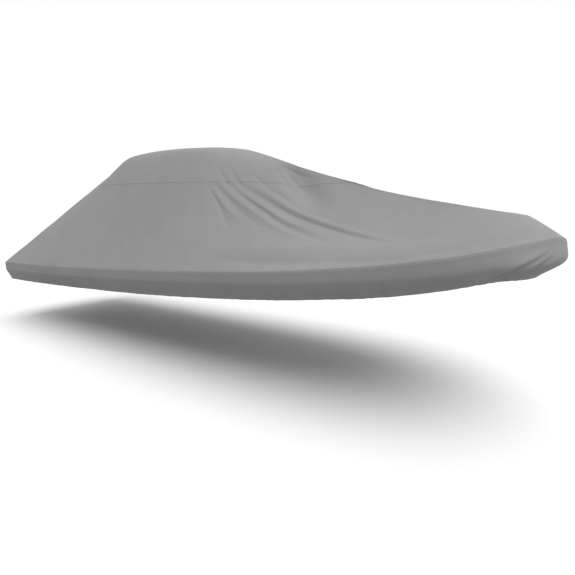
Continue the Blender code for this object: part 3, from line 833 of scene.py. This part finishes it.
class Nodes:
    """Short calls for making and linking the nodes of one material."""

    def __init__(self, name):
        self.material = bpy.data.materials.new(name)
        self.material.use_nodes = True
        self.tree = self.material.node_tree
        self.shader = self.tree.nodes["Principled BSDF"]

    def add(self, kind, settings=None, **sockets):
        """A node with its settings, and with a value or a link for each named socket."""
        node = self.tree.nodes.new("ShaderNode" + kind)
        for key, value in (settings or {}).items():
            setattr(node, key, value)
        for key, value in sockets.items():
            self.put(node.inputs[int(key[1:])] if key[0] == "_" else node.inputs[key], value)
        return node

    def put(self, socket, value):
        """Sets a socket to a value, or links it where the value is another node's output."""
        if isinstance(value, bpy.types.NodeSocket):
            self.tree.links.new(value, socket)
        else:
            socket.default_value = value

    def figure(self, kind, *values):
        """A Math node on one or two values."""
        sockets = {"_" + str(k): value for k, value in enumerate(values)}
        return self.add("Math", {"operation": kind}, **sockets).outputs[0]

    def between(self, value, low, high, out_low, out_high, smooth=True):
        """Carries a value from one range to another."""
        kind = {"interpolation_type": "SMOOTHSTEP" if smooth else "LINEAR"}
        node = self.add("MapRange", kind, Value=value)
        limits = {"From Min": low, "From Max": high, "To Min": out_low, "To Max": out_high}
        for key, number in limits.items():
            node.inputs[key].default_value = number
        return node.outputs[0]

    def noise(self, places, scale, detail, rough=0.5):
        """Smooth noise about one half."""
        sizes = {"Scale": scale, "Detail": detail, "Roughness": rough}
        return self.add("TexNoise", Vector=places, **sizes).outputs[0]

    def varied(self, noise, low, high):
        """Carries nearly all of a noise's range to the range from low to high."""
        return self.between(noise, *NOISE, low, high)

    def paint(self, red, green, blue):
        """Gives the material its colour."""
        colour = self.add("CombineColor", Red=red, Green=green, Blue=blue).outputs[0]
        self.put(self.shader.inputs["Base Color"], colour)

    def stretched(self, places, scales):
        """Places scaled by their own amount each way."""
        return self.add("VectorMath", {"operation": "MULTIPLY"}, _0=places, _1=scales).outputs[0]


def cloth_look(name, shade):
    """Coated polyester: plain weave, slight mottling, seams darkened by wear and by painted shade in
    their grooves, dust towards the hem, and a painted shade that darkens whole panels such as the
    skirt.
    """
    n = Nodes(name)
    place = n.add("TexCoord").outputs["Object"]
    threads = n.add("UVMap", {"uv_map": "threads"}).outputs[0]
    seam = n.add("Attribute", {"attribute_name": "seam"}).outputs["Fac"]
    hem = n.add("Attribute", {"attribute_name": "hem"}).outputs["Fac"]
    split = n.add("SeparateXYZ", Vector=threads)

    broad = n.varied(n.noise(place, 0.9, 3.0), 0.965, 1.035)
    cloudy = n.varied(n.noise(place, 7.0, 5.0, 0.6), 0.985, 1.015)
    warp = n.noise(n.stretched(threads, (900.0, 14.0, 1.0)), 1.0, 2.0)
    weft = n.noise(n.stretched(threads, (14.0, 900.0, 1.0)), 1.0, 2.0)
    yarn = n.between(n.figure("ADD", warp, weft), 0.7, 1.3, 0.955, 1.045)
    # painted shade: the narrow dark line along each seam stands for the shade in its groove, with
    # some seam dirt
    sewn = n.between(seam, 0.0010, 0.0050, 0.92, 1.0)
    handled = n.between(seam, 0.004, 0.060, 0.985, 1.0)
    specks = n.noise(n.stretched(place, (3.0, 3.0, 0.6)), 3.0, 5.0, 0.6)
    dust = n.between(specks, 0.35, 0.70, 0.93, 1.0)
    low = n.between(hem, 0.02, 0.28, 1.0, 0.0)
    dusty = n.figure("ADD", n.figure("MULTIPLY", n.figure("SUBTRACT", dust, 1.0), low), 1.0)
    # painted shade: a shade below one darkens the whole panel's grey, as on the skirt
    total = CLOTH_GREY * shade
    for part in (broad, cloudy, yarn, sewn, handled, dusty):
        total = n.figure("MULTIPLY", total, part)
    n.paint(*(n.figure("MULTIPLY", total, share) for share in TINT))
    n.put(n.shader.inputs["Roughness"], n.varied(n.noise(place, 18.0, 4.0), 0.76, 0.86))
    n.shader.inputs["Sheen Weight"].default_value = 0.03
    n.shader.inputs["Sheen Roughness"].default_value = 0.45
    n.shader.inputs["Specular IOR Level"].default_value = 0.12

    turn = 2 * math.pi / WEAVE
    over = n.figure("SINE", n.figure("MULTIPLY", split.outputs[0], turn))
    under = n.figure("SINE", n.figure("MULTIPLY", split.outputs[1], turn))
    weave = n.figure("MULTIPLY", over, under)
    crumple = n.noise(place, 24.0, 4.0, 0.55)
    ripple = n.noise(n.stretched(threads, (42.0, 5.0, 1.0)), 1.0, 2.0)
    near = n.between(seam, 0.006, 0.055, 1.0, 0.0)
    pucker = n.figure("MULTIPLY", ripple, near)
    puckered = n.add("Bump", Strength=0.6, Distance=0.0030, Height=pucker).outputs[0]
    crumpled = n.add("Bump", Strength=0.30, Distance=0.0020, Height=crumple, Normal=puckered)
    crumpled = crumpled.outputs[0]
    woven = n.add("Bump", Strength=0.25, Distance=0.00025, Height=weave, Normal=crumpled)
    n.put(n.shader.inputs["Normal"], woven.outputs[0])
    return n.material


def thread_look():
    """Twisted polyester sewing thread."""
    n = Nodes("sewing_thread")
    place = n.add("TexCoord").outputs["Object"]
    grey = n.varied(n.noise(place, 60.0, 2.0), THREAD_GREY * 0.9, THREAD_GREY * 1.1)
    n.paint(grey, grey, grey)
    twist = n.add("Bump", Strength=0.4, Distance=0.0002, Height=n.noise(place, 2500.0, 1.0))
    n.put(n.shader.inputs["Normal"], twist.outputs[0])
    n.shader.inputs["Roughness"].default_value = 0.6
    return n.material


def floor_look():
    """Plain pale studio floor."""
    n = Nodes("studio_floor")
    place = n.add("TexCoord").outputs["Object"]
    grey = n.varied(n.noise(place, 0.4, 2.0), FLOOR_GREY - 0.005, FLOOR_GREY + 0.005)
    n.paint(grey, grey, grey)
    n.shader.inputs["Roughness"].default_value = 0.95
    return n.material


# The pieces -----------------------------------------------------------------------------------------
thread = thread_look()
SIDES = ("starboard", "port")
crown_halves = {side: crown_half(side) for side in SIDES}
side_grids = {side: side_panel(side) for side in SIDES}
skirt_grids = {side: skirt_panel(side) for side in SIDES}


def fell_rows(grid, distance, **where):
    """Both rows of stitches of one felled seam."""
    return [beside(grid, distance, at, **where) for at in FELL_ROWS]


def crown_stitches():
    """Rows beside the crown's seam, on both sides."""
    rows = []
    for grid in crown_halves.values():
        long_enough = grid.seam.max(axis=1) > SEWN_FROM
        rows += fell_rows(grid, grid.seam, lines=np.flatnonzero(long_enough))
    return rows


def side_stitches(side):
    """Rows above the gunwale, and on the starboard panel those along the middle of the boat."""
    grid = side_grids[side]
    rows = fell_rows(grid, grid.length[:, -1:] - grid.length)
    if side == "starboard":
        off_middle = np.abs(grid.points[..., 1])
        along = stations(CROWN_LINES + FORE_LINES, beside_middle=True)
        on_ridge = np.flatnonzero(along > CROWN_END + RIDGE_CLEAR)
        rows += fell_rows(grid, off_middle, lines=on_ridge, rows=slice(0, SIDE_ROWS // 2))
        for lines in (slice(0, SIDE_END_LINES), slice(-SIDE_END_LINES, None)):
            rows += fell_rows(grid, off_middle, lines=lines, down=True)
    return rows


def skirt_stitches(side):
    """The row that closes the hem's channel, and the short rows at the stern and the bow."""
    grid = skirt_grids[side]
    rows = [beside(grid, grid.hem, HEM_STITCHES)]
    if side == "starboard":
        off_middle = np.abs(grid.points[..., 1])
        for lines in (slice(0, SKIRT_END_LINES), slice(-SKIRT_END_LINES, None)):
            rows += fell_rows(grid, off_middle, lines=lines, down=True)
    return rows


Cut = namedtuple("Cut", "width length area")
SKIRT_PAINTED_SHADE = 0.985           # painted shade: lowers the skirt's grey beside that of the other panels


def add_panel(name, grid, turned, shade, rows):
    """One panel with its stitches, declared to the frame."""
    piece = cloth_solid("cloth_" + name, grid, turned, cloth_look("cloth_" + name, shade))
    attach(piece, "root")
    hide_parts(name)
    seams = stitches("stitches_" + name, rows, thread)
    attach(seams, "root")


crown_grid = joined(crown_halves["port"], crown_halves["starboard"])
add_panel("crown", crown_grid, False, 1.00, crown_stitches())
for side in SIDES:
    add_panel("side_panel_" + side, side_grids[side], side == "port", 1.00,
              side_stitches(side))
    add_panel("skirt_panel_" + side, skirt_grids[side], side == "port", SKIRT_PAINTED_SHADE,
              skirt_stitches(side))


# Floor, light and camera ----------------------------------------------------------------------------
GROUND = -ORIGIN[2]           # the boat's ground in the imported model's frame
FLOOR_REACH = 90.0
FLOOR_CORNERS = 96


def add_floor():
    """A wide plain disc on the ground under the cover."""
    angles = np.linspace(0, 2 * math.pi, FLOOR_CORNERS, endpoint=False)
    corners = [(FLOOR_REACH * math.cos(a), FLOOR_REACH * math.sin(a), GROUND) for a in angles]
    mesh = bpy.data.meshes.new("floor")
    mesh.from_pydata(corners, [], [list(range(len(corners)))])
    mesh.materials.append(floor_look())
    floor = bpy.data.objects.new("floor", mesh)
    bpy.context.scene.collection.objects.link(floor)


def add_sun(name, strength, spread, azimuth, elevation):
    """Even light from one direction: azimuth from the bow towards starboard, in degrees."""
    data = bpy.data.lights.new(name, "SUN")
    data.energy = strength
    data.angle = math.radians(spread)
    light = bpy.data.objects.new(name, data)
    light.rotation_euler = (0, math.radians(90 - elevation), math.radians(-azimuth))
    bpy.context.scene.collection.objects.link(light)


def add_world(strength):
    """The same soft white light from everywhere."""
    world = bpy.data.worlds.new("studio")
    world.use_nodes = True
    background = world.node_tree.nodes["Background"]
    background.inputs["Color"].default_value = (1.0, 1.0, 1.0, 1.0)
    background.inputs["Strength"].default_value = strength
    bpy.context.scene.world = world


CAMERA_PLACE = (4.66, -3.95, -1.15)
CAMERA_TURN = 32.4            # from looking across the boat towards its stern, in degrees
CAMERA_DIP = 10.13            # below the horizon, in degrees
CAMERA_LENS = 21.91           # in millimetres, as is the sensor
CAMERA_SENSOR = 36.0
CAMERA_SEES = (0.05, 400.0)   # nearest and furthest


def add_camera():
    """The camera off the starboard bow, at a standing person's eye height."""
    data = bpy.data.cameras.new("camera")
    data.lens = CAMERA_LENS
    data.sensor_width = CAMERA_SENSOR
    data.clip_start, data.clip_end = CAMERA_SEES
    camera = bpy.data.objects.new("camera", data)
    camera.location = CAMERA_PLACE
    camera.rotation_euler = (math.radians(90 - CAMERA_DIP), 0, math.radians(CAMERA_TURN))
    bpy.context.scene.collection.objects.link(camera)
    bpy.context.scene.camera = camera


add_floor()
add_world(strength=1.0)
add_sun("key_light", strength=4.2, spread=60, azimuth=20, elevation=64)
add_camera()
bpy.context.scene.view_settings.view_transform = "Standard"
